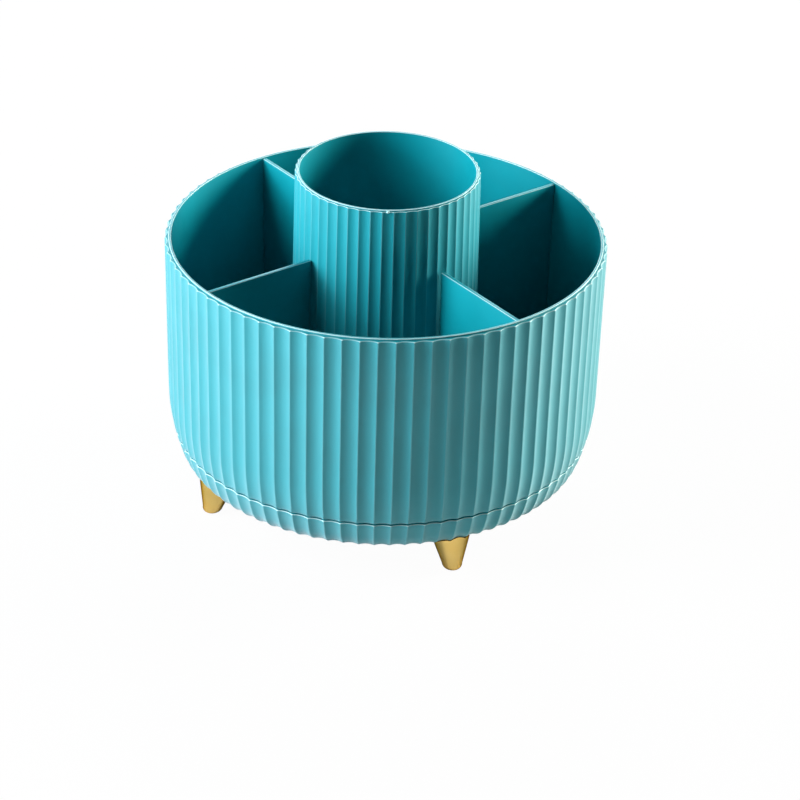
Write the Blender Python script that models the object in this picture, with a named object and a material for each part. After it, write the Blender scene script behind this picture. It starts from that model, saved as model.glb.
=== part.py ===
"""Rotating makeup organizer.

A fluted drum turns on a shallow fluted dish that stands on four splayed gold feet. Four dividers
run from the drum's wall to a taller fluted cup in its middle. A stub axle under the drum runs in
the dish's collar, held by a screw and a washer from below, and a ring of steel balls in a flat
cage carries the load between a track on the dish and one under the drum.

The origin is on the table under the middle of the object, with +Z up and -Y in front. The dividers
lie on the diagonals. Lengths are in metres and angles in radians.
"""

import math

import bmesh
import bpy
from mathutils import Vector

MM = 0.001
DEG = math.radians(1.0)
QUARTER = 90.0 * DEG

# Clearances
SEAT_GAP = 0.3 * MM  # between pieces that sit on or in each other
SEAM_GAP = 0.6 * MM  # the shadow line between the turning drum and the dish
BALL_GAP = 0.2 * MM  # between a ball and each of its tracks
POCKET_GAP = 0.25 * MM  # between a ball and its pocket in the cage
CUT_OVERRUN = 6.0 * MM  # how far a cutter runs past the faces that it cuts

# Heights above the table
CUP_HEIGHT = 165.2 * MM
RIM_HEIGHT = 131.6 * MM
BELLY_HEIGHT = 54.2 * MM  # where the straight wall starts to curve in
SEAM_HEIGHT = 33.6 * MM
CORNER_HEIGHT = 25.0 * MM  # where the wall turns under
UNDERSIDE_HEIGHT = 15.7 * MM

# The fluted wall that the drum and the dish share
RIM_INNER_RADIUS = 100.0 * MM
WALL = 3.2 * MM  # from the smooth inside to the ridges
FLOOR = 2.4 * MM
WALL_DRAFT = 0.97 * DEG
BELLY_RADIUS = 92.0 * MM
FLUTE_COUNT = 80
FLUTE_DEPTH = 1.0 * MM
LIP_WALL = 1.3 * MM
LIP_STEP = 0.9 * MM  # from the lip down to the tops of the flutes
FLOOR_FILLET = 7.0 * MM
SEAM_LIFT = 2.0 * MM  # from the seam up to the underside of the drum's floor
SKIRT_WALL = 4.2 * MM  # the drum's lower edge, from the ridges in

# Centre cup
CUP_INNER_RADIUS = 40.9 * MM
CUP_WALL = 2.1 * MM
CUP_OUTER_DRAFT = 0.5 * DEG
CUP_INNER_DRAFT = 0.25 * DEG
CUP_FLUTE_COUNT = 50
CUP_FLUTE_DEPTH = 0.6 * MM
CUP_LIP_WALL = 1.0 * MM
CUP_LIP_STEP = 0.6 * MM
CUP_FILLET = 3.0 * MM
SPIGOT_WALL = 3.4 * MM  # from the cup's inner wall in to the disc that centres it
SPIGOT_HEIGHT = 1.5 * MM

# Dividers
DIVIDER_THICKNESS = 2.0 * MM
DIVIDER_DROP = 0.6 * MM  # their tops below the lip
DIVIDER_ANGLE = 45.0 * DEG
DIVIDER_SIDES = ("back_right", "back_left", "front_left", "front_right")

# Ball race
TRACK_SPACE = 10.5 * MM  # from the pads under the foot screws in to the track's wall
BALL_RADIUS = 4.0 * MM
BALL_COUNT = 12
TRACK_HALF_WIDTH = 3.6 * MM
TRACK_WALL = 2.2 * MM
TRACK_RIB_HEIGHT = 1.4 * MM
UPPER_RIB_WALL = 1.6 * MM
CAGE_HALF_WIDTH = 7.4 * MM
CAGE_THICKNESS = 2.4 * MM

# Pivot
AXLE_RADIUS = 6.0 * MM
AXLE_GAP = 0.3 * MM
AXLE_OVERHANG = 0.2 * MM  # the axle's end below the plate that it passes through
COLLAR_WALL = 2.4 * MM
COLLAR_HEADROOM = 1.8 * MM
RECESS_RADIUS = 10.0 * MM
RECESS_DEPTH = 5.8 * MM
WASHER_RADIUS = 8.5 * MM
WASHER_THICKNESS = 1.2 * MM
PIVOT_SCREW_RADIUS = 1.9 * MM
PIVOT_HEAD_RADIUS = 3.8 * MM
PIVOT_HEAD_HEIGHT = 2.2 * MM
PIVOT_BORE_DEPTH = 12.0 * MM
SCREW_TIP_SPACE = 1.0 * MM  # between a screw's tip and the end of its blind hole
SCREW_TIP_SHARE = 0.45
SCREW_CROWN_SHARE = 0.7

# Feet
FOOT_COUNT = 4
FOOT_ANGLE = 31.5 * DEG
FOOT_INSET = 0.15 * MM  # from the edge of the dish's flat underside in to the middle of a foot's top
FOOT_SPLAY = 12.6 * DEG
FOOT_END_RADIUS = 4.8 * MM
FOOT_END_FILLET = 2.6 * MM
FOOT_TOP_RADIUS = 8.9 * MM
FOOT_RISE = 8.0 * MM  # how far the foot would reach above the dish's underside, before its seat is cut
FOOT_BORE_DEPTH = 9.0 * MM
PAD_RADIUS = 5.0 * MM
PAD_HEIGHT = 1.6 * MM
FOOT_SCREW_RADIUS = 1.5 * MM
FOOT_HEAD_RADIUS = 3.2 * MM
FOOT_HEAD_HEIGHT = 1.8 * MM

# How finely round shapes are divided
FLUTE_STEPS = 4
WALL_SIDES = 64
TRACK_SIDES = 40
HUB_SIDES = 20
SMALL_SIDES = 12
BELLY_STEPS = 2
CORNER_STEPS = 3
FILLET_STEPS = 3
TIP_STEPS = 2
SMOOTH_ANGLE = 35.0 * DEG
FLAT_ANGLE = 0.02 * DEG  # a face that bends more than this is split into flat ones

# Sizes that follow from the ones above
SHELF_HEIGHT = RIM_HEIGHT - LIP_STEP
RIDGE_RADIUS = RIM_INNER_RADIUS + WALL
BELLY_SIDE = RIDGE_RADIUS - (SHELF_HEIGHT - BELLY_HEIGHT) * math.tan(WALL_DRAFT)
BELLY_CENTRE_RADIUS = BELLY_SIDE - BELLY_RADIUS * math.cos(WALL_DRAFT)
BELLY_CENTRE_HEIGHT = BELLY_HEIGHT + BELLY_RADIUS * math.sin(WALL_DRAFT)
CORNER_ANGLE = math.asin((BELLY_CENTRE_HEIGHT - CORNER_HEIGHT) / BELLY_RADIUS)
CORNER_RADIUS = (CORNER_HEIGHT - UNDERSIDE_HEIGHT) / (1.0 - math.sin(CORNER_ANGLE))
CORNER_CENTRE_HEIGHT = UNDERSIDE_HEIGHT + CORNER_RADIUS
FLAT_RADIUS = BELLY_CENTRE_RADIUS + (BELLY_RADIUS - CORNER_RADIUS) * math.cos(CORNER_ANGLE)

DRUM_EDGE_HEIGHT = SEAM_HEIGHT + SEAM_GAP / 2.0
DISH_EDGE_HEIGHT = SEAM_HEIGHT - SEAM_GAP / 2.0
DRUM_UNDERSIDE = SEAM_HEIGHT + SEAM_LIFT
DRUM_FLOOR_TOP = DRUM_UNDERSIDE + FLOOR
DISH_FLOOR_TOP = UNDERSIDE_HEIGHT + FLOOR

CUP_RIDGE_RADIUS = CUP_INNER_RADIUS + CUP_WALL
CUP_BOTTOM = DRUM_FLOOR_TOP + SEAT_GAP
CUP_FLOOR_UNDERSIDE = CUP_BOTTOM + SPIGOT_HEIGHT
CUP_FLOOR_TOP = CUP_FLOOR_UNDERSIDE + FLOOR

FOOT_SEAT_RADIUS = FLAT_RADIUS - FOOT_INSET
FOOT_TIP_RADIUS = FOOT_SEAT_RADIUS + UNDERSIDE_HEIGHT * math.tan(FOOT_SPLAY)

TRACK_WALL_RADIUS = FOOT_SEAT_RADIUS - PAD_RADIUS - TRACK_SPACE
TRACK_RADIUS = TRACK_WALL_RADIUS - TRACK_WALL - TRACK_HALF_WIDTH
BALL_HEIGHT = DRUM_UNDERSIDE - BALL_GAP - BALL_RADIUS
TRACK_HEIGHT = BALL_HEIGHT - BALL_RADIUS - BALL_GAP

PLATE_UNDERSIDE = UNDERSIDE_HEIGHT + RECESS_DEPTH
PLATE_TOP = PLATE_UNDERSIDE + FLOOR
AXLE_END = PLATE_UNDERSIDE - AXLE_OVERHANG
WASHER_TOP = AXLE_END - SEAT_GAP
PIVOT_HEAD_FACE = WASHER_TOP - WASHER_THICKNESS - SEAT_GAP

PAD_TOP = DISH_FLOOR_TOP + PAD_HEIGHT
FOOT_HEAD_FACE = PAD_TOP + SEAT_GAP
FOOT_BORE_END = UNDERSIDE_HEIGHT - FOOT_BORE_DEPTH


def spread(low, high, steps):
    """Evenly spaced values from low to high, with both ends."""
    return [low + (high - low) * step / steps for step in range(steps + 1)]


def circle(radius, height, sides, start=0.0, shift=0.0):
    """A level circle of points about Z, moved along X by shift."""
    turns = [start + math.tau * side / sides for side in range(sides)]
    return [Vector((shift + radius * math.cos(turn), radius * math.sin(turn), height)) for turn in turns]


def hollow_share(share):
    """How deep a flute is at a share of its width: 0 on the ridges and 1 in the middle."""
    return 1.0 - (1.0 - 2.0 * min(share, 1.0 - share)) ** 2


def fluted(radius, height, count, depth, start=0.0, lead=0.5, slope=0.0):
    """A fluted loop with its ridges on the circle.

    Lead is the share of a flute at the start angle: 0 puts a ridge there, and 0.5 the middle of a
    flute. The flutes are cut square to a wall that leans under by slope.
    """
    loop = []
    for step in range(count * FLUTE_STEPS):
        turn = start + math.tau * step / (count * FLUTE_STEPS)
        hollow = depth * hollow_share((lead + step / FLUTE_STEPS) % 1.0)
        reach = radius - hollow * math.cos(slope)
        rise = hollow * math.sin(slope)
        loop.append(Vector((reach * math.cos(turn), reach * math.sin(turn), height + rise)))
    return loop


def bridge(shape, first, second):
    """Faces between two loops that start at one angle, whatever their counts."""
    a = b = 0
    while a < len(first) or b < len(second):
        ahead = (a + 1) * len(second) - (b + 1) * len(first)
        corners = [first[a % len(first)], second[b % len(second)]]
        if ahead >= 0:
            b += 1
            corners.append(second[b % len(second)])
        if ahead <= 0:
            a += 1
            corners.append(first[a % len(first)])
        shape.faces.new(corners)


def mesh_of(name, shape):
    """A smooth-shaded mesh of a closed bmesh, with flat faces that are turned outwards."""
    bmesh.ops.connect_verts_nonplanar(shape, angle_limit=FLAT_ANGLE, faces=shape.faces)
    bmesh.ops.recalc_face_normals(shape, faces=shape.faces)
    if shape.calc_volume(signed=True) < 0.0:
        bmesh.ops.reverse_faces(shape, faces=shape.faces)
    mesh = bpy.data.meshes.new(name)
    shape.to_mesh(mesh)
    shape.free()
    mesh.shade_smooth()
    mesh.set_sharp_from_angle(angle=SMOOTH_ANGLE)
    return mesh


def turned_mesh(name, loops, ring=False):
    """A skin over a chain of loops about Z, capped at both ends or closed into a ring."""
    shape = bmesh.new()
    rows = [[shape.verts.new(point) for point in loop] for loop in loops]
    for first, second in zip(rows, rows[1:]):
        bridge(shape, first, second)
    if ring:
        bridge(shape, rows[-1], rows[0])
    else:
        shape.faces.new(rows[0])
        shape.faces.new(rows[-1])
    return mesh_of(name, shape)


def posts_mesh(name, places, radius, low, high, sides):
    """Upright round posts at the given X and Y, as one mesh."""
    shape = bmesh.new()
    for x, y in places:
        offset = Vector((x, y, 0.0))
        ends = [
            [shape.verts.new(point + offset) for point in circle(radius, height, sides)]
            for height in (low, high)
        ]
        bridge(shape, *ends)
        shape.faces.new(ends[0])
        shape.faces.new(ends[1])
    return mesh_of(name, shape)


def around(count, radius, first_angle):
    """X and Y of evenly spaced places round Z."""
    turns = [first_angle + math.tau * place / count for place in range(count)]
    return [(radius * math.cos(turn), radius * math.sin(turn)) for turn in turns]


def new_material(name, colour, roughness, metallic=0.0):
    material = bpy.data.materials.new(name)
    material.use_nodes = True
    shader = material.node_tree.nodes["Principled BSDF"]
    shader.inputs["Base Color"].default_value = (*colour, 1.0)
    shader.inputs["Roughness"].default_value = roughness
    shader.inputs["Metallic"].default_value = metallic
    material.diffuse_color = (*colour, 1.0)
    return material


def new_axis(name, height):
    """An empty on the turning axis, which carries the pieces that turn together."""
    axis = bpy.data.objects.new(name, None)
    axis.location = (0.0, 0.0, height)
    bpy.context.scene.collection.objects.link(axis)
    return axis


def add(name, mesh, material, axis=None, place=(0.0, 0.0, 0.0), turn=0.0):
    """One sub-part. A piece on an axis keeps its own place in the world."""
    piece = bpy.data.objects.new(name, mesh)
    bpy.context.scene.collection.objects.link(piece)
    piece.location = place
    piece.rotation_euler = (0.0, 0.0, turn)
    if material is not None and not mesh.materials:
        mesh.materials.append(material)
    if axis is not None:
        piece.parent = axis
        piece.location = Vector(place) - axis.location
    return piece


def shaped_by(piece, tool, operation):
    """Unites a piece with a hidden tool, or cuts it by one."""
    tool.hide_render = True
    tool.display_type = "WIRE"
    modifier = piece.modifiers.new(tool.name, "BOOLEAN")
    modifier.operation = operation
    modifier.solver = "EXACT"
    modifier.object = tool


def wall_radius(height):
    """The drum's smooth inner wall."""
    return RIM_INNER_RADIUS - (RIM_HEIGHT - height) * math.tan(WALL_DRAFT)


def ridge_radius(height):
    """The ridges of the fluted wall, down to where it turns under."""
    if height >= BELLY_HEIGHT:
        return RIDGE_RADIUS - (SHELF_HEIGHT - height) * math.tan(WALL_DRAFT)
    drop = BELLY_CENTRE_HEIGHT - height
    return BELLY_CENTRE_RADIUS + math.sqrt(BELLY_RADIUS**2 - drop**2)


def inside_outline(top, clear=0.0):
    """Radius and height along the drum's inner corner and wall, drawn in by a clearance."""
    centre_height = DRUM_FLOOR_TOP + FLOOR_FILLET
    centre_radius = wall_radius(centre_height) - FLOOR_FILLET
    reach = FLOOR_FILLET - clear
    corner = [
        (centre_radius + reach * math.sin(turn), centre_height - reach * math.cos(turn))
        for turn in spread(0.0, QUARTER, FILLET_STEPS)
    ]
    return corner + [(wall_radius(top) - clear, top)]


def drum_mesh():
    """Floor, wall and lip, with the upper track's ribs and the stub axle underneath."""
    spigot = CUP_INNER_RADIUS - SPIGOT_WALL
    loops = [circle(spigot, height, TRACK_SIDES) for height in (DRUM_FLOOR_TOP + SPIGOT_HEIGHT, DRUM_FLOOR_TOP)]
    loops += [circle(radius, height, WALL_SIDES) for radius, height in inside_outline(RIM_HEIGHT)]
    lip = RIM_INNER_RADIUS + LIP_WALL
    loops += [circle(lip, height, WALL_SIDES) for height in (RIM_HEIGHT, SHELF_HEIGHT)]
    heights = [SHELF_HEIGHT] + spread(BELLY_HEIGHT, DRUM_EDGE_HEIGHT, BELLY_STEPS)
    loops += [fluted(ridge_radius(height), height, FLUTE_COUNT, FLUTE_DEPTH) for height in heights]

    skirt = ridge_radius(DRUM_EDGE_HEIGHT) - SKIRT_WALL
    loops += [circle(skirt, height, WALL_SIDES) for height in (DRUM_EDGE_HEIGHT, DRUM_UNDERSIDE)]
    rib_bottom = DRUM_UNDERSIDE - TRACK_RIB_HEIGHT
    for outer, inner in (
        (TRACK_RADIUS + TRACK_HALF_WIDTH + UPPER_RIB_WALL, TRACK_RADIUS + TRACK_HALF_WIDTH),
        (TRACK_RADIUS - TRACK_HALF_WIDTH, TRACK_RADIUS - TRACK_HALF_WIDTH - UPPER_RIB_WALL),
    ):
        loops += [circle(outer, height, TRACK_SIDES) for height in (DRUM_UNDERSIDE, rib_bottom)]
        loops += [circle(inner, height, TRACK_SIDES) for height in (rib_bottom, DRUM_UNDERSIDE)]
    loops += [circle(AXLE_RADIUS, height, HUB_SIDES) for height in (DRUM_UNDERSIDE, AXLE_END)]
    bore = PIVOT_SCREW_RADIUS + SEAT_GAP
    loops += [circle(bore, height, HUB_SIDES) for height in (AXLE_END, AXLE_END + PIVOT_BORE_DEPTH)]
    return turned_mesh("drum", loops)


def cup_ridge(height):
    """The ridges of the cup, which widens downwards."""
    shelf = CUP_HEIGHT - CUP_LIP_STEP
    return CUP_RIDGE_RADIUS + (shelf - height) * math.tan(CUP_OUTER_DRAFT)


def cup_side(angle, height):
    """The outside of the cup at an angle, ridge or hollow."""
    share = ((angle - DIVIDER_ANGLE) / math.tau * CUP_FLUTE_COUNT) % 1.0
    return cup_ridge(height) - CUP_FLUTE_DEPTH * hollow_share(share)


def cup_mesh():
    """The fluted cup, with a recess under its floor that drops over the drum's disc."""
    shelf = CUP_HEIGHT - CUP_LIP_STEP
    corner_height = CUP_FLOOR_TOP + CUP_FILLET
    inner_wall = CUP_INNER_RADIUS - (CUP_HEIGHT - corner_height) * math.tan(CUP_INNER_DRAFT)
    corner = [
        (inner_wall - CUP_FILLET + CUP_FILLET * math.sin(turn), corner_height - CUP_FILLET * math.cos(turn))
        for turn in spread(0.0, QUARTER, FILLET_STEPS)
    ]
    lip = CUP_INNER_RADIUS + CUP_LIP_WALL
    inside = corner + [(CUP_INNER_RADIUS, CUP_HEIGHT), (lip, CUP_HEIGHT), (lip, shelf)]
    loops = [circle(radius, height, TRACK_SIDES, DIVIDER_ANGLE) for radius, height in inside]
    loops += [
        fluted(cup_ridge(height), height, CUP_FLUTE_COUNT, CUP_FLUTE_DEPTH, DIVIDER_ANGLE, 0.0)
        for height in (shelf, CUP_BOTTOM)
    ]
    recess = CUP_INNER_RADIUS - SPIGOT_WALL + SEAT_GAP
    loops += [
        circle(recess, height, TRACK_SIDES, DIVIDER_ANGLE) for height in (CUP_BOTTOM, CUP_FLOOR_UNDERSIDE)
    ]
    return turned_mesh("centre_cup", loops)


def divider_mesh(name, angle):
    """A flat plate along X that follows the cup's side, the floor, the drum's corner and its wall."""
    top = RIM_HEIGHT - DIVIDER_DROP
    bottom = DRUM_FLOOR_TOP + SEAT_GAP
    outline = [(cup_side(angle, bottom) + SEAT_GAP, bottom)]
    outline += inside_outline(top, SEAT_GAP)
    outline += [(cup_side(angle, top) + SEAT_GAP, top)]
    shape = bmesh.new()
    corners = [shape.verts.new((radius, -DIVIDER_THICKNESS / 2.0, height)) for radius, height in outline]
    face = shape.faces.new(corners)
    grown = bmesh.ops.extrude_face_region(shape, geom=[face])
    moved = [item for item in grown["geom"] if isinstance(item, bmesh.types.BMVert)]
    bmesh.ops.translate(shape, verts=moved, vec=(0.0, DIVIDER_THICKNESS, 0.0))
    return mesh_of(name, shape)


def corner_loops(clear=0.0):
    """The fluted loops of the dish's corner, down to the plain edge of its flat underside."""
    loops = []
    for turn in spread(CORNER_ANGLE, QUARTER, CORNER_STEPS)[:-1]:
        fade = (turn - CORNER_ANGLE) / (QUARTER - CORNER_ANGLE)
        radius = FLAT_RADIUS + (CORNER_RADIUS + clear) * math.cos(turn)
        height = CORNER_CENTRE_HEIGHT - (CORNER_RADIUS + clear) * math.sin(turn)
        depth = FLUTE_DEPTH * (1.0 - fade**2)
        loops.append(fluted(radius, height, FLUTE_COUNT, depth, slope=turn))
    loops.append(circle(FLAT_RADIUS, UNDERSIDE_HEIGHT - clear, WALL_SIDES))
    return loops


def dish_mesh():
    """The base dish: fluted outside, with the lower track, the pivot's collar and its recess."""
    dish_edge = ridge_radius(DISH_EDGE_HEIGHT)
    loops = [fluted(dish_edge, DISH_EDGE_HEIGHT, FLUTE_COUNT, FLUTE_DEPTH)] + corner_loops()

    channel = TRACK_HALF_WIDTH + TRACK_WALL
    core = channel - TRACK_WALL
    core_top = TRACK_HEIGHT - FLOOR
    under = [(core, UNDERSIDE_HEIGHT), (core, core_top), (-core, core_top), (-core, UNDERSIDE_HEIGHT)]
    loops += [circle(TRACK_RADIUS + reach, height, TRACK_SIDES) for reach, height in under]

    bore = AXLE_RADIUS + AXLE_GAP
    collar = bore + COLLAR_WALL
    turret = RECESS_RADIUS + FLOOR
    collar_top = DRUM_UNDERSIDE - COLLAR_HEADROOM
    pivot = [
        (RECESS_RADIUS, UNDERSIDE_HEIGHT),
        (RECESS_RADIUS, PLATE_UNDERSIDE),
        (bore, PLATE_UNDERSIDE),
        (bore, collar_top),
        (collar, collar_top),
        (collar, PLATE_TOP),
        (turret, PLATE_TOP),
        (turret, DISH_FLOOR_TOP),
    ]
    loops += [circle(radius, height, HUB_SIDES) for radius, height in pivot]

    rib_top = TRACK_HEIGHT + TRACK_RIB_HEIGHT
    track = [
        (-channel, DISH_FLOOR_TOP),
        (-channel, rib_top),
        (-TRACK_HALF_WIDTH, rib_top),
        (-TRACK_HALF_WIDTH, TRACK_HEIGHT),
        (TRACK_HALF_WIDTH, TRACK_HEIGHT),
        (TRACK_HALF_WIDTH, rib_top),
        (channel, rib_top),
        (channel, DISH_FLOOR_TOP),
    ]
    loops += [circle(TRACK_RADIUS + reach, height, TRACK_SIDES) for reach, height in track]

    for turn in reversed(spread(CORNER_ANGLE, QUARTER, CORNER_STEPS)):
        fade = (turn - CORNER_ANGLE) / (QUARTER - CORNER_ANGLE)
        reach = CORNER_RADIUS - WALL + (WALL - FLOOR) * fade
        radius = FLAT_RADIUS + reach * math.cos(turn)
        loops.append(circle(radius, CORNER_CENTRE_HEIGHT - reach * math.sin(turn), WALL_SIDES))
    loops.append(circle(dish_edge - WALL, DISH_EDGE_HEIGHT, WALL_SIDES))
    return turned_mesh("base_dish", loops, ring=True)


def seat_cutter_mesh():
    """The space that the dish takes from a foot, with the seat's clearance."""
    top = SEAM_HEIGHT + CUT_OVERRUN
    loops = [fluted(ridge_radius(top) + SEAT_GAP, top, FLUTE_COUNT, FLUTE_DEPTH)]
    return turned_mesh("foot_seat_cutter", loops + corner_loops(SEAT_GAP))


def foot_mesh():
    """A leaning cone with a rounded, flat-ended tip, from the table up into the dish's corner."""
    taper = (FOOT_TOP_RADIUS - FOOT_END_RADIUS) / (UNDERSIDE_HEIGHT - FOOT_END_FILLET)
    top = UNDERSIDE_HEIGHT + FOOT_RISE
    outline = [
        (
            FOOT_END_RADIUS - FOOT_END_FILLET * (1.0 - math.sin(turn)),
            FOOT_END_FILLET * (1.0 - math.cos(turn)),
        )
        for turn in spread(0.0, QUARTER, TIP_STEPS)
    ]
    outline.append((FOOT_TOP_RADIUS + taper * FOOT_RISE, top))
    lean = -math.tan(FOOT_SPLAY)
    loops = [circle(radius, height, HUB_SIDES, shift=lean * height) for radius, height in outline]
    return turned_mesh("foot", loops)


def screw_mesh(name, head_face, rise, head_radius, head_height, shank_radius, tip):
    """A pan-head screw on Z. The head goes up from its bearing face where rise is 1, down where it is -1."""
    crown = head_face + rise * head_height
    shoulder = head_face + rise * head_height * SCREW_CROWN_SHARE
    taper_start = tip + rise * shank_radius
    outline = [
        (head_radius * SCREW_CROWN_SHARE, crown),
        (head_radius, shoulder),
        (head_radius, head_face),
        (shank_radius, head_face),
        (shank_radius, taper_start),
        (shank_radius * SCREW_TIP_SHARE, tip),
    ]
    return turned_mesh(name, [circle(radius, height, SMALL_SIDES) for radius, height in outline])


def washer_mesh():
    hole = PIVOT_SCREW_RADIUS + SEAT_GAP
    low = WASHER_TOP - WASHER_THICKNESS
    outline = [(hole, WASHER_TOP), (WASHER_RADIUS, WASHER_TOP), (WASHER_RADIUS, low), (hole, low)]
    loops = [circle(radius, height, HUB_SIDES) for radius, height in outline]
    return turned_mesh("pivot_washer", loops, ring=True)


def cage_mesh():
    inner = TRACK_RADIUS - CAGE_HALF_WIDTH
    outer = TRACK_RADIUS + CAGE_HALF_WIDTH
    low = BALL_HEIGHT - CAGE_THICKNESS / 2.0
    high = low + CAGE_THICKNESS
    outline = [(inner, high), (outer, high), (outer, low), (inner, low)]
    loops = [circle(radius, height, TRACK_SIDES) for radius, height in outline]
    return turned_mesh("ball_cage", loops, ring=True)


def ball_mesh():
    shape = bmesh.new()
    bmesh.ops.create_icosphere(shape, subdivisions=2, radius=BALL_RADIUS)
    return mesh_of("ball", shape)


def build_carousel(plastic, steel):
    """Everything that turns with the drum."""
    axis = new_axis("carousel_axis", SEAM_HEIGHT)
    add("drum", drum_mesh(), plastic, axis)
    add("centre_cup", cup_mesh(), plastic, axis)
    for quarter, side in enumerate(DIVIDER_SIDES):
        name = "divider_" + side
        angle = DIVIDER_ANGLE + quarter * QUARTER
        add(name, divider_mesh(name, angle), plastic, axis, turn=angle)
    tip = AXLE_END + PIVOT_BORE_DEPTH - SCREW_TIP_SPACE
    screw = screw_mesh(
        "pivot_screw", PIVOT_HEAD_FACE, -1.0, PIVOT_HEAD_RADIUS, PIVOT_HEAD_HEIGHT, PIVOT_SCREW_RADIUS, tip
    )
    add("pivot_screw", screw, steel, axis)
    add("pivot_washer", washer_mesh(), steel, axis)


def build_race(cage_plastic, steel):
    """The balls and the cage that spaces them, which follow the drum at half its speed."""
    axis = new_axis("cage_axis", BALL_HEIGHT)
    places = around(BALL_COUNT, TRACK_RADIUS, 0.0)
    cage = add("ball_cage", cage_mesh(), cage_plastic, axis)
    half = CAGE_THICKNESS / 2.0 + CUT_OVERRUN
    pockets = posts_mesh(
        "pocket_cutter", places, BALL_RADIUS + POCKET_GAP, BALL_HEIGHT - half, BALL_HEIGHT + half, SMALL_SIDES
    )
    shaped_by(cage, add("pocket_cutter", pockets, None), "DIFFERENCE")
    ball = ball_mesh()
    for number, (x, y) in enumerate(places, 1):
        add(f"ball_{number:02d}", ball, steel, axis, place=(x, y, BALL_HEIGHT))


def build_base(plastic, gold, steel):
    """The dish, its feet and their screws, which stand still."""
    dish = add("base_dish", dish_mesh(), plastic)
    seats = around(FOOT_COUNT, FOOT_SEAT_RADIUS, FOOT_ANGLE)
    hole = FOOT_SCREW_RADIUS + SEAT_GAP
    pad_foot = DISH_FLOOR_TOP - FLOOR / 2.0
    pads = add("screw_pads", posts_mesh("screw_pads", seats, PAD_RADIUS, pad_foot, PAD_TOP, SMALL_SIDES), None)
    shaped_by(dish, pads, "UNION")
    over_pads = PAD_TOP + CUT_OVERRUN
    bores = add("screw_cutter", posts_mesh("screw_cutter", seats, hole, FOOT_BORE_END, over_pads, SMALL_SIDES), None)
    shaped_by(dish, bores, "DIFFERENCE")

    seat_cutter = add("foot_seat_cutter", seat_cutter_mesh(), None)
    foot = foot_mesh()
    screw = screw_mesh(
        "foot_screw",
        FOOT_HEAD_FACE,
        1.0,
        FOOT_HEAD_RADIUS,
        FOOT_HEAD_HEIGHT,
        FOOT_SCREW_RADIUS,
        FOOT_BORE_END + SCREW_TIP_SPACE,
    )
    tips = around(FOOT_COUNT, FOOT_TIP_RADIUS, FOOT_ANGLE)
    for number, ((x, y), (screw_x, screw_y)) in enumerate(zip(tips, seats), 1):
        turn = FOOT_ANGLE + math.tau * (number - 1) / FOOT_COUNT
        piece = add(f"foot_{number}", foot, gold, place=(x, y, 0.0), turn=turn)
        shaped_by(piece, bores, "DIFFERENCE")
        shaped_by(piece, seat_cutter, "DIFFERENCE")
        add(f"foot_screw_{number}", screw, steel, place=(screw_x, screw_y, 0.0), turn=turn)


def build():
    for old in list(bpy.data.objects):
        bpy.data.objects.remove(old)
    plastic = new_material("teal_plastic", (0.055, 0.445, 0.515), 0.42)
    gold = new_material("polished_gold", (0.86, 0.62, 0.22), 0.14, 1.0)
    steel = new_material("zinc_steel", (0.62, 0.62, 0.64), 0.3, 1.0)
    cage_plastic = new_material("white_nylon", (0.82, 0.82, 0.79), 0.5)
    build_carousel(plastic, steel)
    build_race(cage_plastic, steel)
    build_base(plastic, gold, steel)


build()
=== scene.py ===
import math

import bmesh
import bpy
from mathutils import Matrix, Vector


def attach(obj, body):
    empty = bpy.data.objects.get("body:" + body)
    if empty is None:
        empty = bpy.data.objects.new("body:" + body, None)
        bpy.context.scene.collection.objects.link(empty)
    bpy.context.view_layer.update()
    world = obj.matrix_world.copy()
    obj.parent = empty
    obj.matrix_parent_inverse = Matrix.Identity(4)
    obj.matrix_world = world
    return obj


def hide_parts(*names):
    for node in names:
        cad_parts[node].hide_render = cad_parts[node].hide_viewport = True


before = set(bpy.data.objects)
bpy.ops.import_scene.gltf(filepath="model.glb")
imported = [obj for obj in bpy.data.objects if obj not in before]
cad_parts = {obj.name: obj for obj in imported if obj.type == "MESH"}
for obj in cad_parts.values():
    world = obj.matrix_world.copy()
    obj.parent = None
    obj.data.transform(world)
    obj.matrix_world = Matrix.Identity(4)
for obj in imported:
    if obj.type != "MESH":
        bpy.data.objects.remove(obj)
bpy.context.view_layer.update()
mm = 0.001
degree = math.radians(1.0)
print("frame loaded:", len(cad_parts), "nodes")


class Socket:  # a shader socket that can be added, subtracted and multiplied

    def __init__(self, tree, output):
        self.tree, self.output = tree, output

    def math(self, operation, other, swapped=False):
        values = [other, self] if swapped else [self, other]
        return addNode(self.tree, "ShaderNodeMath", {"operation": operation}, dict(enumerate(values)))

    def __add__(self, other):
        return self.math("ADD", other)

    def __radd__(self, other):
        return self.math("ADD", other, True)

    def __sub__(self, other):
        return self.math("SUBTRACT", other)

    def __rsub__(self, other):
        return self.math("SUBTRACT", other, True)

    def __mul__(self, other):
        return self.math("MULTIPLY", other)

    def __rmul__(self, other):
        return self.math("MULTIPLY", other, True)


def addNode(tree, kind, settings=None, inputs=None, output=0):
    node = tree.nodes.new(kind)
    for name, value in (settings or {}).items():
        setattr(node, name, value)
    for name, value in (inputs or {}).items():
        if isinstance(value, Socket):
            tree.links.new(value.output, node.inputs[name])
        elif node.inputs[name].type == "RGBA":
            node.inputs[name].default_value = (*value, 1.0)
        else:
            node.inputs[name].default_value = value
    return Socket(tree, node.outputs[output])


def between(tree, value, low, high):  # 0 at low, 1 at high, and no further
    return addNode(tree, "ShaderNodeMapRange", {"interpolation_type": "SMOOTHSTEP"},
                   {"Value": value, "From Min": low, "From Max": high})


def mixColours(tree, share, first, second):
    return addNode(tree, "ShaderNodeMix", {"data_type": "RGBA"}, {0: share, 6: first, 7: second}, 2)


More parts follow.
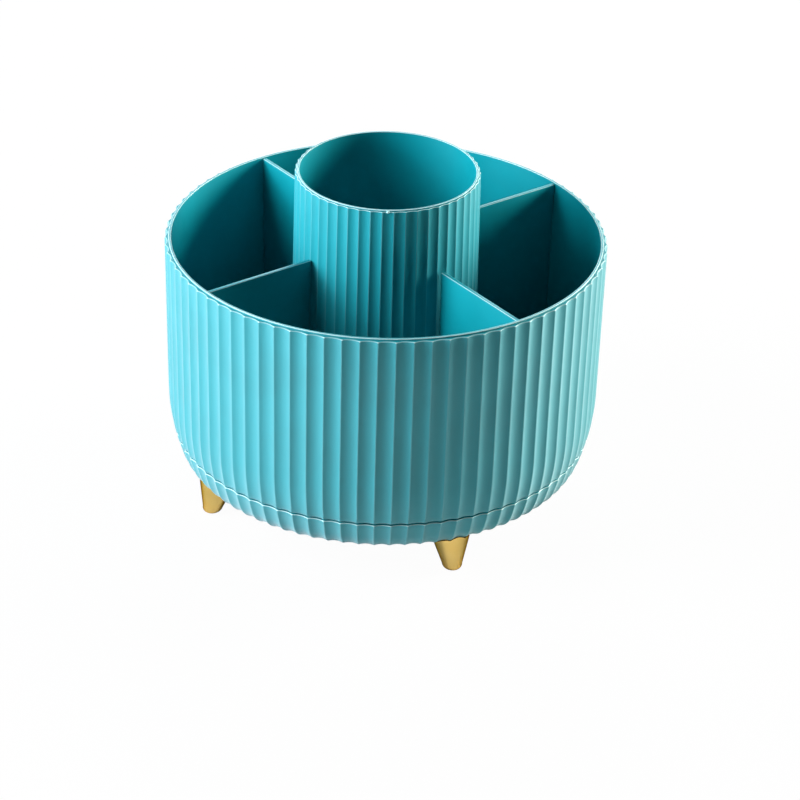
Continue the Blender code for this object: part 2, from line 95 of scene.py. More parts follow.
def newMaterial(name):
    material = bpy.data.materials.new(name)
    material.use_nodes = True
    tree = material.node_tree
    return material, tree, tree.nodes["Principled BSDF"]


def objectPlace(tree):
    return addNode(tree, "ShaderNodeTexCoord", output="Object")


def noise(tree, place, scale, detail=2.0, rough=0.5):  # the scale is per metre
    return addNode(tree, "ShaderNodeTexNoise", {},
                   {"Vector": place, "Scale": scale, "Detail": detail, "Roughness": rough})


def feed(tree, shader, name, value):
    tree.links.new(value.output, shader.inputs[name])


def feedRelief(tree, shader, height, strength, depth):  # a fine relief, its depth in mm
    feed(tree, shader, "Normal", addNode(tree, "ShaderNodeBump", {}, {
        "Strength": strength, "Distance": depth * mm, "Height": height}))


tealLook = dict(
    far=(0.014, 0.330, 0.382), near=(0.002, 0.325, 0.385),  # far on the drum and dish outside, a little paler as painted sheen of their lit sides; near on all the rest
    farFrom=(0.06, 0.07),                                   # metres from the axis
    worn=(0.62, 0.93, 0.91), paintedHighlightShare=0.85, edgeGloss=0.3,  # painted highlight: pale on the sharply curved ridges and lips, which are also less rough there
    bulgeRange=(0.35, 1.5),                                 # how sharply these curve, per mm
    drift=0.05, cloudScale=38.0, cloudRange=(0.35, 0.65),   # slow drift in the colour
    smudge=0.06, smudgeScale=90.0, smudgeRange=(0.3, 0.7),
    grainScale=2600.0, grainStrength=0.35, grainDepth=0.012,
)
frosted = dict(roughness=0.46, specular=0.20, coat=0.5, coatRoughness=0.5, coatIor=1.5, sheen=0.45,
               sheenRoughness=0.5)  # the spark-eroded outside
cupFrosted = dict(frosted, sheen=0.2)
polished = dict(frosted, roughness=0.38, coat=0.0, sheen=0.0)  # the insides and the dividers
finishSockets = {"Specular IOR Level": "specular", "Coat Roughness": "coatRoughness", "Coat IOR": "coatIor",
                 "Sheen Weight": "sheen", "Sheen Roughness": "sheenRoughness"}


def tealPlastic(name, finish):  # injection-moulded plastic
    look = tealLook
    material, tree, shader = newMaterial(name)
    place = objectPlace(tree)
    flat = addNode(tree, "ShaderNodeVectorMath", {"operation": "MULTIPLY"}, {0: place, 1: (1.0, 1.0, 0.0)})
    reach = addNode(tree, "ShaderNodeVectorMath", {"operation": "LENGTH"}, {0: flat}, "Value")
    outer = between(tree, reach, *look["farFrom"]) if finish["coat"] else 0.0
    cloud = noise(tree, place, look["cloudScale"], detail=3.0)
    smudge = noise(tree, place, look["smudgeScale"], detail=4.0, rough=0.6)
    grain = noise(tree, place, look["grainScale"], rough=0.6)
    bulge = addNode(tree, "ShaderNodeAttribute", {"attribute_name": "bulge"}, output="Fac")
    # where the painted highlight goes, by how sharply the surface bulges
    edge = between(tree, bulge, *look["bulgeRange"]) * look["paintedHighlightShare"]
    # the outside's paler colour is painted sheen, set by distance from the axis
    plain = mixColours(tree, outer, look["near"], look["far"])
    darker = mixColours(tree, outer, *[tuple((1.0 - look["drift"]) * part for part in look[side])
                                       for side in ("near", "far")])
    base = mixColours(tree, between(tree, cloud, *look["cloudRange"]), darker, plain)
    # painted highlight: the ridges and lips turn pale where they bulge sharply
    feed(tree, shader, "Base Color", mixColours(tree, edge, base, look["worn"]))
    smudged = between(tree, smudge, *look["smudgeRange"]) * look["smudge"] + finish["roughness"]
    feed(tree, shader, "Roughness", smudged - edge * look["edgeGloss"])
    if finish["coat"]:
        feed(tree, shader, "Coat Weight", outer * finish["coat"])
    for socket, value in finishSockets.items():
        shader.inputs[socket].default_value = finish[value]
    feedRelief(tree, shader, grain, look["grainStrength"], look["grainDepth"])
    return material


goldLook = dict(
    colour=(0.91, 0.60, 0.17), pale=(0.95, 0.68, 0.24), cloudScale=45.0, cloudRange=(0.3, 0.7),
    rim=(0.25, 0.12, 0.04),  # painted dark reflection: a dark tint at a glancing angle, so the feet's edges look dark
    roughness=(0.05, 0.11), scratchScale=500.0, scratchRange=(0.35, 0.75), scratchStretch=0.12,
    rippleScale=70.0, scratchShare=0.15, reliefStrength=0.12, reliefDepth=0.05,
)


def polishedGold():  # bright gold plating
    look = goldLook
    material, tree, shader = newMaterial("polishedGoldPlating")
    place = objectPlace(tree)
    cloud = noise(tree, place, look["cloudScale"])
    ripple = noise(tree, place, look["rippleScale"])
    stretched = addNode(tree, "ShaderNodeMapping", {}, {
        "Vector": place, "Scale": (1.0, 1.0, look["scratchStretch"])})
    scratch = noise(tree, stretched, look["scratchScale"], detail=3.0, rough=0.7)
    feed(tree, shader, "Base Color",
         mixColours(tree, between(tree, cloud, *look["cloudRange"]), look["colour"], look["pale"]))
    low, high = look["roughness"]
    feed(tree, shader, "Roughness", between(tree, scratch, *look["scratchRange"]) * (high - low) + low)
    shader.inputs["Metallic"].default_value = 1.0
    # painted dark reflection: the dark edge tint darkens the feet's glancing edges
    shader.inputs["Specular Tint"].default_value = (*look["rim"], 1.0)
    relief = ripple + scratch * look["scratchShare"]
    feedRelief(tree, shader, relief, look["reliefStrength"], look["reliefDepth"])
    return material


grainLook = dict(range=(0.3, 0.7), share=0.12, depth=0.02)
steelLook = dict(metallic=1.0, cloudScale=320.0, cloudRange=(0.35, 0.7), grainRough=0.6, relief=0.15)
zincLook = dict(steelLook, light=(0.62, 0.62, 0.64), dark=(0.5084, 0.5084, 0.5248), roughness=0.24,
                grainScale=1500.0)
ballLook = dict(steelLook, light=(0.70, 0.70, 0.72), dark=(0.574, 0.574, 0.5904), roughness=0.08,
                grainScale=3000.0)
nylonLook = dict(metallic=0.0, cloudScale=60.0, cloudRange=(0.35, 0.65), grainRough=0.5, relief=0.2,
                 light=(0.82, 0.82, 0.79), dark=(0.74, 0.74, 0.69), roughness=0.42, grainScale=1800.0)


def grainySurface(name, look):  # zinc plate, a ball's ground steel, or nylon
    material, tree, shader = newMaterial(name)
    place = objectPlace(tree)
    cloud = noise(tree, place, look["cloudScale"], detail=3.0)
    grain = noise(tree, place, look["grainScale"], rough=look["grainRough"])
    feed(tree, shader, "Base Color",
         mixColours(tree, between(tree, cloud, *look["cloudRange"]), look["dark"], look["light"]))
    feed(tree, shader, "Roughness",
         between(tree, grain, *grainLook["range"]) * grainLook["share"] + look["roughness"])
    shader.inputs["Metallic"].default_value = look["metallic"]
    feedRelief(tree, shader, grain, look["relief"], grainLook["depth"])
    return material


tealInside = tealPlastic("tealPolishedPlastic", polished)
tealOutside = tealPlastic("tealFrostedPlastic", frosted)
tealCup = tealPlastic("tealFrostedCupPlastic", cupFrosted)
gold = polishedGold()
zinc = grainySurface("zincPlatedSteel", zincLook)
ballSteel = grainySurface("groundBallSteel", ballLook)
nylon = grainySurface("whiteNylon", nylonLook)
print("materials made")


# The turned pieces are drawn out ring by ring round Z, in edit mode. Radii and heights are in mm.

def startRing(sides, radius, height):  # a ring as a new object, or one more in the mesh being edited
    fresh = bpy.context.mode == "OBJECT"
    if fresh:
        bpy.ops.object.select_all(action="DESELECT")
    else:
        bpy.ops.mesh.select_all(action="DESELECT")
    bpy.ops.mesh.primitive_circle_add(vertices=sides, radius=radius * mm, location=(0, 0, height * mm))
    if fresh:
        bpy.ops.object.transform_apply(location=True)
        bpy.ops.object.mode_set(mode="EDIT")
        bpy.ops.mesh.select_all(action="SELECT")
    return radius, height


def turnTo(last, *places):  # draws the selected ring on through more radii and heights
    for radius, height in places:
        bpy.ops.mesh.extrude_edges_move(TRANSFORM_OT_translate={"value": (0, 0, (height - last[1]) * mm)})
        share = radius / last[0]
        bpy.ops.transform.resize(value=(share, share, 1), center_override=(0, 0, 0))
        last = (radius, height)
    return last


def arc(centre, radius, start, end, steps, first=True):  # radii and heights round a corner
    turns = [start + (end - start) * step / steps for step in range(0 if first else 1, steps + 1)]
    return [(centre[0] + radius * math.cos(turn * degree), centre[1] + radius * math.sin(turn * degree))
            for turn in turns]


def overLip(inside, outside, top, lipRound):  # up from the shelf, over the lip and down to the inside
    return (arc((outside - lipRound, top - lipRound), lipRound, 0, 90, 4)
            + arc((inside + lipRound, top - lipRound), lipRound, 90, 180, 4))


def edited():
    shape = bmesh.from_edit_mesh(bpy.context.object.data)
    shape.verts.ensure_lookup_table()
    return shape


def showSelection(shape):
    shape.select_flush(True)
    bmesh.update_edit_mesh(bpy.context.object.data)


def selectWhere(test):  # selects the vertices, and the edges between them, that the test picks by place
    bpy.ops.mesh.select_all(action="DESELECT")
    shape = edited()
    for vertex in shape.verts:
        vertex.select = test(math.hypot(vertex.co.x, vertex.co.y) / mm, vertex.co.z / mm, vertex)
    showSelection(shape)


def selectRing(height, low=0.0, high=1000.0, near=0.05):
    selectWhere(lambda radius, level, vertex: abs(level - height) < near and low <= radius <= high)


def fillTo(sides, radius, height):  # a flat face from the selected ring to one with another number of sides
    shape = edited()
    before = [vertex.index for vertex in shape.verts if vertex.select]
    count = len(shape.verts)
    startRing(sides, radius, height)
    shape = edited()
    for index in before:
        shape.verts[index].select = True
    showSelection(shape)
    bpy.ops.mesh.fill(use_beauty=True)
    bpy.ops.mesh.select_all(action="DESELECT")
    shape = edited()
    for vertex in shape.verts:
        vertex.select = count <= vertex.index < count + sides
    showSelection(shape)
    return radius, height


def roundOff(radius, height):  # draws the selected wavy ring to a round one at its own height
    bpy.ops.mesh.extrude_edges_move(TRANSFORM_OT_translate={"value": (0, 0, 0)})
    bpy.ops.transform.tosphere(value=1.0, center_override=(0, 0, height * mm))
    reach = next(vertex.co.xy.length for vertex in edited().verts if vertex.select)
    share = radius * mm / reach
    bpy.ops.transform.resize(value=(share, share, 1), center_override=(0, 0, 0))


def flatten(height):
    bpy.ops.transform.resize(value=(1, 1, 0), center_override=(0, 0, height * mm))


def closeMiddle():  # a flat face over the selected ring
    bpy.ops.mesh.edge_face_add()


def bevelSelected(offset, segments=3, affect="EDGES"):
    bpy.ops.mesh.bevel(offset=offset * mm, offset_type="OFFSET", segments=segments, profile=0.5,
                       affect=affect, clamp_overlap=False)


def fluteShare(vertex, flutes, firstRidge):  # -0.5 to 0.5 across a ridge, which is at 0
    turn = math.atan2(vertex.co.y, vertex.co.x) / degree
    return ((turn - firstRidge) * flutes / 360.0 + 0.5) % 1.0 - 0.5


def cutFlutes(shape, ridgeRound, fade=None):
    # presses concave flutes into a turned wall that is open at both ends, then rounds the ridges
    flutes, firstRidge = shape["flutes"], shape["firstRidge"]
    bpy.ops.mesh.select_all(action="SELECT")
    bpy.ops.mesh.normals_make_consistent(inside=False)
    bpy.ops.object.mode_set(mode="OBJECT")
    piece = bpy.context.object
    side = piece.data.polygons[0]
    outward = 1.0 if side.normal.xy.dot(side.center.xy) > 0 else -1.0
    group = piece.vertex_groups.new(name="flutes")
    for vertex in piece.data.vertices:
        share = fluteShare(vertex, flutes, firstRidge)
        hollow = 1.0 - (2.0 * abs(share) - 1.0) ** 2
        if fade:
            hollow *= fade(vertex.co.z / mm)
        group.add([vertex.index], hollow, "REPLACE")
    press = piece.modifiers.new("Flutes", "DISPLACE")
    press.vertex_group, press.direction = group.name, "NORMAL"
    press.mid_level, press.strength = 0.0, -outward * shape["fluteDepth"] * mm
    bpy.ops.object.modifier_apply(modifier=press.name)
    piece.vertex_groups.clear()
    bpy.ops.object.mode_set(mode="EDIT")
    if ridgeRound:
        selectWhere(lambda radius, height, vertex: abs(fluteShare(vertex, flutes, firstRidge)) < 0.01)
        bevelSelected(ridgeRound)


def editOnly(piece):
    bpy.ops.object.select_all(action="DESELECT")
    piece.select_set(True)
    bpy.context.view_layer.objects.active = piece
    bpy.ops.object.mode_set(mode="EDIT")


def finishMesh(smooth=32.0):  # merges, turns the faces outwards, shades, and leaves edit mode
    bpy.ops.mesh.select_all(action="SELECT")
    bpy.ops.mesh.remove_doubles(threshold=0.0005 * mm)
    bpy.ops.mesh.normals_make_consistent(inside=False)
    shape = edited()
    if shape.calc_volume(signed=True) < 0:
        bpy.ops.mesh.flip_normals()
        shape = edited()
    openEdges = sum(1 for line in shape.edges if not line.is_manifold)
    bpy.ops.object.mode_set(mode="OBJECT")
    piece = bpy.context.object
    bpy.ops.object.select_all(action="DESELECT")
    piece.select_set(True)
    bpy.ops.object.shade_smooth_by_angle(angle=smooth * degree)
    print("  faces:", len(piece.data.polygons), "open edges:", openEdges)
    return piece


def runModifier(piece, kind, **settings):
    bpy.context.view_layer.objects.active = piece
    modifier = piece.modifiers.new(kind.title(), kind)
    for name, value in settings.items():
        setattr(modifier, name, value)
    bpy.ops.object.modifier_apply(modifier=modifier.name)


def cutWith(piece, tool, operation="DIFFERENCE"):
    runModifier(piece, "BOOLEAN", operation=operation, object=tool, solver="EXACT")
    bpy.data.objects.remove(tool)


def around(radius, turn):  # a place in metres, from a radius in mm and a turn in degrees
    return radius * mm * math.cos(turn * degree), radius * mm * math.sin(turn * degree)


def addCylinder(sides, radius, low, high, place):
    bpy.ops.object.select_all(action="DESELECT")
    bpy.ops.mesh.primitive_cylinder_add(vertices=sides, radius=radius * mm, depth=(high - low) * mm,
                                        location=(*place, (high + low) / 2 * mm))
    bpy.ops.object.transform_apply(location=True)
    return bpy.context.object


def addBall(segments, radius, place, height, flat=1.0):
    bpy.ops.object.select_all(action="DESELECT")
    bpy.ops.mesh.primitive_uv_sphere_add(segments=segments, ring_count=segments // 2, radius=radius * mm,
                                         location=(*place, height * mm), scale=(1.0, 1.0, flat))
    bpy.ops.object.transform_apply(location=True, scale=True)
    return bpy.context.object


def copyMesh(piece, turn):  # a copy with its own mesh, turned round Z in that mesh
    copied = bpy.data.objects.new(piece.name, piece.data.copy())
    bpy.context.scene.collection.objects.link(copied)
    copied.data.transform(Matrix.Rotation(turn, 4, "Z"))
    return copied


def markBulge(piece, above):  # keeps on each vertex how sharply the surface bulges there, per mm
    shape = bmesh.new()
    shape.from_mesh(piece.data)
    layer = shape.verts.layers.float.new("bulge")
    for vertex in shape.verts:
        bend = sum(line.calc_face_angle_signed(0.0) * line.calc_length() for line in vertex.link_edges)
        area = sum(face.calc_area() / len(face.verts) for face in vertex.link_faces)
        vertex[layer] = bend * mm / (4.0 * area) if vertex.co.z > above * mm else 0.0
    shape.to_mesh(piece.data)
    shape.free()


def dress(piece, name, material, body, node, highlightedAbove=0.0):
    piece.name = piece.data.name = name
    piece.data.materials.clear()
    piece.data.materials.append(material)
    # the bulge places the painted highlight, only above the given height
    if material is tealInside:
        markBulge(piece, highlightedAbove)
    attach(piece, body)
    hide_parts(node)
    return piece


def frostOutside(piece, least, finish, facing=0.05):  # frosts the faces that look outwards or down
    piece.data.materials.append(finish)
    for face in piece.data.polygons:
        spoke = face.center.xy.normalized()
        looksOut = face.normal.xy.dot(spoke) > facing or face.normal.z < -facing
        if face.center.xy.length > least * mm and looksOut:
            face.material_index = 1


# The fluted wall that the drum and the dish share, above and below the seam.
wall = dict(
    rimInside=100.0, rimTop=131.6, thickness=3.2, draft=0.97, lipStep=0.9,
    bellyTop=54.2, bellyRadius=92.0, cornerTop=25.0, underside=15.7,
    seam=33.6, seamGap=0.9, drumUndersideLift=2.0, drumFloorLift=4.4,
    flutes=80, columnsPerFlute=16, fluteDepth=1.0, firstRidge=2.25, ridgeRound=0.36, topRound=0.55,
    footInset=0.15, trackInset=21.3, frostedFrom=65.0,
)
slope = math.tan(wall["draft"] * degree)
shelf = wall["rimTop"] - wall["lipStep"]
ridgeTop = wall["rimInside"] + wall["thickness"]
bellySide = ridgeTop - (shelf - wall["bellyTop"]) * slope
bellyCentre = (bellySide - wall["bellyRadius"] * math.cos(wall["draft"] * degree),
               wall["bellyTop"] + wall["bellyRadius"] * math.sin(wall["draft"] * degree))
cornerTurn = math.asin((bellyCentre[1] - wall["cornerTop"]) / wall["bellyRadius"]) / degree
cornerRadius = (wall["cornerTop"] - wall["underside"]) / (1 - math.sin(cornerTurn * degree))
cornerCentre = (bellyCentre[0] + (wall["bellyRadius"] - cornerRadius) * math.cos(cornerTurn * degree),
                wall["underside"] + cornerRadius)
wallColumns = wall["flutes"] * wall["columnsPerFlute"]
drumEdge, dishEdge = wall["seam"] + wall["seamGap"] / 2, wall["seam"] - wall["seamGap"] / 2
drumUnderside, drumFloor = wall["seam"] + wall["drumUndersideLift"], wall["seam"] + wall["drumFloorLift"]
footSeat = cornerCentre[0] - wall["footInset"]
trackRadius = footSeat - wall["trackInset"]


def ridgeAt(height):  # the radius of the ridges, down to the corner
    if height >= wall["bellyTop"]:
        return ridgeTop - (shelf - height) * slope
    return bellyCentre[0] + math.sqrt(wall["bellyRadius"] ** 2 - (bellyCentre[1] - height) ** 2)


def bellyRows(high, low, steps):
    heights = [high + (low - high) * step / steps for step in range(1, steps + 1)]
    return [(ridgeAt(height), height) for height in heights]


def cornerFade(height):  # the flutes run out round the dish's corner
    lean = math.asin(min(1.0, max(0.0, (cornerCentre[1] - height) / cornerRadius))) / degree
    return 1.0 - max(0.0, (lean - cornerTurn) / (90.0 - cornerTurn)) ** 2


def insideWall(height):
    return wall["rimInside"] - (wall["rimTop"] - height) * slope


drumShape = dict(
    wallRows=(105.0, 80.0), bellyRows=7, lipWall=1.3, lipRound=0.35, ledge=0.2,
    floorFillet=7.0, floorRow=60.0, discRadius=37.5, discHeight=1.5, discRound=0.3, middle=6.0,
    edgeFrom=90.0, skirt=4.2, skirtLedge=2.0, highlightedAboveEdge=1.0, ribHeight=1.4, trackHalf=3.6, ribWall=1.6,
    axleRadius=6.0, axleEnd=21.3, axleFillet=1.0, axleChamfer=0.5, bore=2.2, boreDepth=12.0,
    insideSides=320, hubSides=64,
)


def buildDrum():
    drum = drumShape
    turnTo(startRing(wallColumns, ridgeTop, shelf),
           *[(ridgeAt(height), height) for height in (*drum["wallRows"], wall["bellyTop"])],
           *bellyRows(wall["bellyTop"], drumEdge, drum["bellyRows"]))
    cutFlutes(wall, wall["ridgeRound"])

    # the lip, the smooth inside and the floor with the disc that centres the cup
    selectRing(shelf)
    flatten(shelf)
    lipOut = wall["rimInside"] + drum["lipWall"]
    roundOff(lipOut + drum["ledge"], shelf)
    last = fillTo(drum["insideSides"], lipOut, shelf)
    last = turnTo(last, *overLip(wall["rimInside"], lipOut, wall["rimTop"], drum["lipRound"]))
    fillet, disc, discRound = drum["floorFillet"], drum["discRadius"], drum["discRound"]
    low, discTop = drumFloor + fillet, drumFloor + drum["discHeight"]
    last = turnTo(last, *arc((insideWall(low) - fillet, low), fillet, 0, -90, 9),
                  (drum["floorRow"], drumFloor), (disc, drumFloor),
                  *arc((disc - discRound, discTop - discRound), discRound, 0, 90, 2))
    fillTo(drum["hubSides"], drum["middle"], last[1])
    closeMiddle()

    # the skirt, the upper ball track and the stub axle underneath
    selectRing(drumEdge, drum["edgeFrom"], near=0.3)
    flatten(drumEdge)
    skirt = ridgeAt(drumEdge) - drum["skirt"]
    roundOff(skirt + drum["skirtLedge"], drumEdge)
    last = fillTo(drum["insideSides"], skirt, drumEdge)
    outer, inner = trackRadius + drum["trackHalf"], trackRadius - drum["trackHalf"]
    rib = drumUnderside - drum["ribHeight"]
    turnTo(last, (skirt, drumUnderside), (outer + drum["ribWall"], drumUnderside),
           (outer + drum["ribWall"], rib), (outer, rib), (outer, drumUnderside),
           (inner, drumUnderside), (inner, rib), (inner - drum["ribWall"], rib),
           (inner - drum["ribWall"], drumUnderside))
    axle, axleFillet, end = drum["axleRadius"], drum["axleFillet"], drum["axleEnd"]
    last = fillTo(drum["hubSides"], axle + axleFillet, drumUnderside)
    turnTo(last, *arc((axle + axleFillet, drumUnderside - axleFillet), axleFillet, 90, 180, 3, False),
           (axle, end + drum["axleChamfer"]), (axle - drum["axleChamfer"], end),
           (drum["bore"], end), (drum["bore"], end + drum["boreDepth"]))
    closeMiddle()

    # the tops and bottoms of the ridges
    selectRing(shelf, lipOut + 2 * drum["ledge"])
    bevelSelected(wall["topRound"])
    selectRing(drumEdge, skirt + drum["skirtLedge"] + 0.2)
    bevelSelected(wall["topRound"])
    piece = dress(finishMesh(), "flutedDrum", tealInside, "carousel", "drum",
                  drumEdge + drum["highlightedAboveEdge"])
    frostOutside(piece, wall["frostedFrom"], tealOutside)


cupShape = dict(
    inside=40.9, top=165.2, wall=2.1, outerDraft=0.5, innerDraft=0.25, wallRows=(132.0, 100.0, 68.0),
    lipWall=1.0, lipStep=0.6, lipRound=0.28, ledge=0.1, topRound=0.25,
    flutes=50, columnsPerFlute=12, fluteDepth=0.6, firstRidge=45.0, ridgeRound=0.3,
    fillet=3.0, floorTop=42.2, floorUnderside=39.8, bottom=38.3, recess=37.8, middle=8.0,
    insideSides=192, hubSides=48, frostedFrom=41.2,
    gateRadius=42.5, gateSize=0.75, gateTurn=-81.2, gateFlat=0.8,  # the mark of the mould's gate, in front
)


def cupRidgeAt(height):
    cup = cupShape
    return cup["inside"] + cup["wall"] + (cup["top"] - cup["lipStep"] - height) * math.tan(
        cup["outerDraft"] * degree)


def buildCup():
    cup = cupShape
    cupShelf, bottom = cup["top"] - cup["lipStep"], cup["bottom"]
    turnTo(startRing(cup["flutes"] * cup["columnsPerFlute"], cupRidgeAt(cupShelf), cupShelf),
           *[(cupRidgeAt(height), height) for height in (*cup["wallRows"], bottom)])
    cutFlutes(cup, cup["ridgeRound"])

    # the lip, the smooth inside and the floor
    selectRing(cupShelf)
    flatten(cupShelf)
    lipOut = cup["inside"] + cup["lipWall"]
    roundOff(lipOut + cup["ledge"], cupShelf)
    last = fillTo(cup["insideSides"], lipOut, cupShelf)
    last = turnTo(last, *overLip(cup["inside"], lipOut, cup["top"], cup["lipRound"]))
    low = cup["floorTop"] + cup["fillet"]
    side = cup["inside"] - (cup["top"] - low) * math.tan(cup["innerDraft"] * degree)
    turnTo(last, *arc((side - cup["fillet"], low), cup["fillet"], 0, -90, 7))
    fillTo(cup["hubSides"], cup["middle"], cup["floorTop"])
    closeMiddle()

    # the recess underneath, which drops over the drum's disc
    selectRing(bottom)
    flatten(bottom)
    last = fillTo(cup["insideSides"], cup["recess"], bottom)
    turnTo(last, (cup["recess"], cup["floorUnderside"]))
    fillTo(cup["hubSides"], cup["middle"], cup["floorUnderside"])
    closeMiddle()

    selectRing(cupShelf, lipOut + 2 * cup["ledge"])
    bevelSelected(cup["topRound"])
    piece = finishMesh()
    gate = addBall(24, cup["gateSize"], around(cup["gateRadius"], cup["gateTurn"]), cupShelf, cup["gateFlat"])
    cutWith(piece, gate, "UNION")
    editOnly(piece)
    piece = dress(finishMesh(), "flutedCup", tealInside, "carousel", "centre_cup")
    frostOutside(piece, cup["frostedFrom"], tealCup)


dividerShape = dict(
    thickness=2.0, top=131.0, gap=0.3, edgeRound=0.45,
    angles={"back_right": 45.0, "back_left": 135.0, "front_left": 225.0, "front_right": 315.0},
)


def buildDivider(side, angle):
    # a plate on edge: a plane stood up along X, its corners set to the walls, its low corner rounded
    plate = dividerShape
    gap, low, high = plate["gap"], drumFloor + plate["gap"], plate["top"]
    corners = {
        (-1, -1): (cupRidgeAt(low) + gap, low), (-1, 1): (cupRidgeAt(high) + gap, high),
        (1, -1): (insideWall(low) - gap, low), (1, 1): (insideWall(high) - gap, high),
    }
    bpy.ops.object.select_all(action="DESELECT")
    bpy.ops.mesh.primitive_plane_add(size=2.0, location=(0, 0, 0), rotation=(math.pi / 2, 0, 0))
    bpy.ops.object.transform_apply(rotation=True)
    piece = bpy.context.object
    for vertex in piece.data.vertices:
        radius, height = corners[round(vertex.co.x), round(vertex.co.z)]
        vertex.co = (radius * mm, 0, height * mm)
    bpy.ops.object.mode_set(mode="EDIT")
    selectWhere(lambda radius, height, vertex: radius > 80.0 and height < 60.0)
    bevelSelected(drumShape["floorFillet"] - gap, 9, "VERTICES")
    bpy.ops.object.mode_set(mode="OBJECT")
    runModifier(piece, "SOLIDIFY", thickness=plate["thickness"] * mm, offset=0.0)
    runModifier(piece, "BEVEL", width=plate["edgeRound"] * mm, segments=3, limit_method="ANGLE",
                angle_limit=60.0 * degree)
    bpy.ops.object.mode_set(mode="EDIT")
    bpy.ops.mesh.select_all(action="SELECT")
    bpy.ops.transform.rotate(value=-angle * degree, orient_axis="Z", center_override=(0, 0, 0))
    name = "divider" + "".join(word.title() for word in side.split("_"))
    dress(finishMesh(), name, tealInside, "carousel", "divider_" + side)


dishShape = dict(
    bellyRows=3, cornerRows=12, floor=2.4, floorTop=18.1, insideSides=256, hubSides=64, rimLedge=1.8,
    flatRow=1.0, chamfer=0.4, deepChamfer=0.8,
    channel=5.8, core=3.6, trackTop=27.2, trackHalf=3.6, ribHeight=1.4,
    recess=10.0, recessChamfer=0.5, recessRound=0.6, plateUnder=21.5, plateTop=23.9, bore=6.3, collar=8.7,
    collarTop=33.8, turret=12.4,
    padRadius=5.0, padTop=19.7, padSink=1.2, screwHole=1.8, holeOverrun=4.0, holeSides=40,
)


def dishOutside(clear=0.0, top=dishEdge):  # the fluted outside, also used to cut the feet's seats
    dish = dishShape
    rows = [(radius + clear, height)
            for radius, height in bellyRows(top, wall["cornerTop"], dish["bellyRows"])]
    rows += arc(cornerCentre, cornerRadius + clear, -cornerTurn, -90.0, dish["cornerRows"], False)
    turnTo(startRing(wallColumns, ridgeAt(top) + clear, top), *rows)
    cutFlutes(wall, 0.0 if clear else wall["ridgeRound"], cornerFade)


def dishInside():  # round the corner on the inside, where the wall gets as thin as the floor
    dish = dishShape
    rows = []
    for step in range(dish["cornerRows"] + 1):
        turn = 90.0 + (cornerTurn - 90.0) * step / dish["cornerRows"]
        share = (turn - cornerTurn) / (90.0 - cornerTurn)
        reach = cornerRadius - wall["thickness"] + (wall["thickness"] - dish["floor"]) * share
        rows += arc(cornerCentre, reach, -turn, -turn, 1, False)
    return rows


def addPads(piece):  # the four pads that the feet are screwed up against, and their holes
    dish = dishShape
    for angle in footShape["angles"]:
        place = around(footSeat, angle)
        pad = addCylinder(dish["holeSides"], dish["padRadius"], dish["floorTop"] - dish["padSink"],
                          dish["padTop"], place)
        cutWith(piece, pad, "UNION")
        hole = addCylinder(dish["holeSides"], dish["screwHole"], wall["underside"] - dish["holeOverrun"],
                           dish["padTop"] + dish["holeOverrun"], place)
        cutWith(piece, hole)


def buildDish():
    dish = dishShape
    dishOutside()
    under, chamfer, deep = wall["underside"], dish["chamfer"], dish["deepChamfer"]
    selectRing(under, near=0.02)
    flatten(under)

    # the underside: the hollow under the ball track, then the recess, the plate and the collar
    turnTo((cornerCentre[0], under), (cornerCentre[0] - dish["flatRow"], under))
    outer, inner = trackRadius + dish["core"], trackRadius - dish["core"]
    coreTop = dish["trackTop"] - dish["floor"]
    last = fillTo(dish["insideSides"], outer + chamfer, under)
    turnTo(last, (outer, under + chamfer), (outer, coreTop - deep), (outer - deep, coreTop),
           (inner + deep, coreTop), (inner, coreTop - deep), (inner, under + chamfer),
           (inner - chamfer, under))
    recess, recessRound, plate = dish["recess"], dish["recessRound"], dish["plateUnder"]
    bore, collar, turret = dish["bore"], dish["collar"], dish["turret"]
    collarTop, plateTop = dish["collarTop"], dish["plateTop"]
    last = fillTo(dish["hubSides"], recess + dish["recessChamfer"], under)
    turnTo(last, (recess, under + dish["recessChamfer"]), (recess, plate - recessRound),
           (recess - recessRound, plate), (bore, plate),
           (bore, collarTop - chamfer), (bore + chamfer, collarTop),
           (collar - chamfer, collarTop), (collar, collarTop - chamfer),
           (collar, plateTop + deep), (collar + deep, plateTop),
           (turret - deep, plateTop), (turret, plateTop - deep), (turret, dish["floorTop"]))

    # the inside: floor, lower ball track and wall
    innerRib, outerRib = trackRadius - dish["channel"], trackRadius + dish["channel"]
    half, top = dish["trackHalf"], dish["trackTop"]
    ribTop = top + dish["ribHeight"]
    last = fillTo(dish["insideSides"], innerRib, dish["floorTop"])
    edge = ridgeAt(dishEdge)
    turnTo(last, (innerRib, ribTop), (trackRadius - half, ribTop), (trackRadius - half, top),
           (trackRadius + half, top), (trackRadius + half, ribTop), (outerRib, ribTop),
           (outerRib, dish["floorTop"]), *dishInside(), (edge - wall["thickness"], dishEdge))

    # the rim at the seam
    ledge = edge - dish["rimLedge"]
    selectRing(dishEdge, ledge + 0.2, near=0.3)
    flatten(dishEdge)
    roundOff(ledge, dishEdge)
    selectRing(dishEdge, high=ledge + 0.1)
    bpy.ops.mesh.fill(use_beauty=True)
    selectRing(dishEdge, ledge + 0.2)
    bevelSelected(wall["topRound"])
    piece = finishMesh()
    addPads(piece)
    editOnly(piece)
    piece = dress(finishMesh(), "flutedDish", tealInside, "base", "base_dish")
    frostOutside(piece, wall["frostedFrom"], tealOutside)


footShape = dict(
    angles=(31.5, 121.5, 211.5, 301.5), splay=12.6, endRadius=4.8, endFillet=2.6, topRadius=8.9,
    rows=(6.0, 10.0, 14.0, 19.0), rise=8.0, sides=96, seatGap=0.5, cutterTop=6.0,
    bore=1.8, boreEnd=6.7, boreRise=6.0, boreSides=32,
)


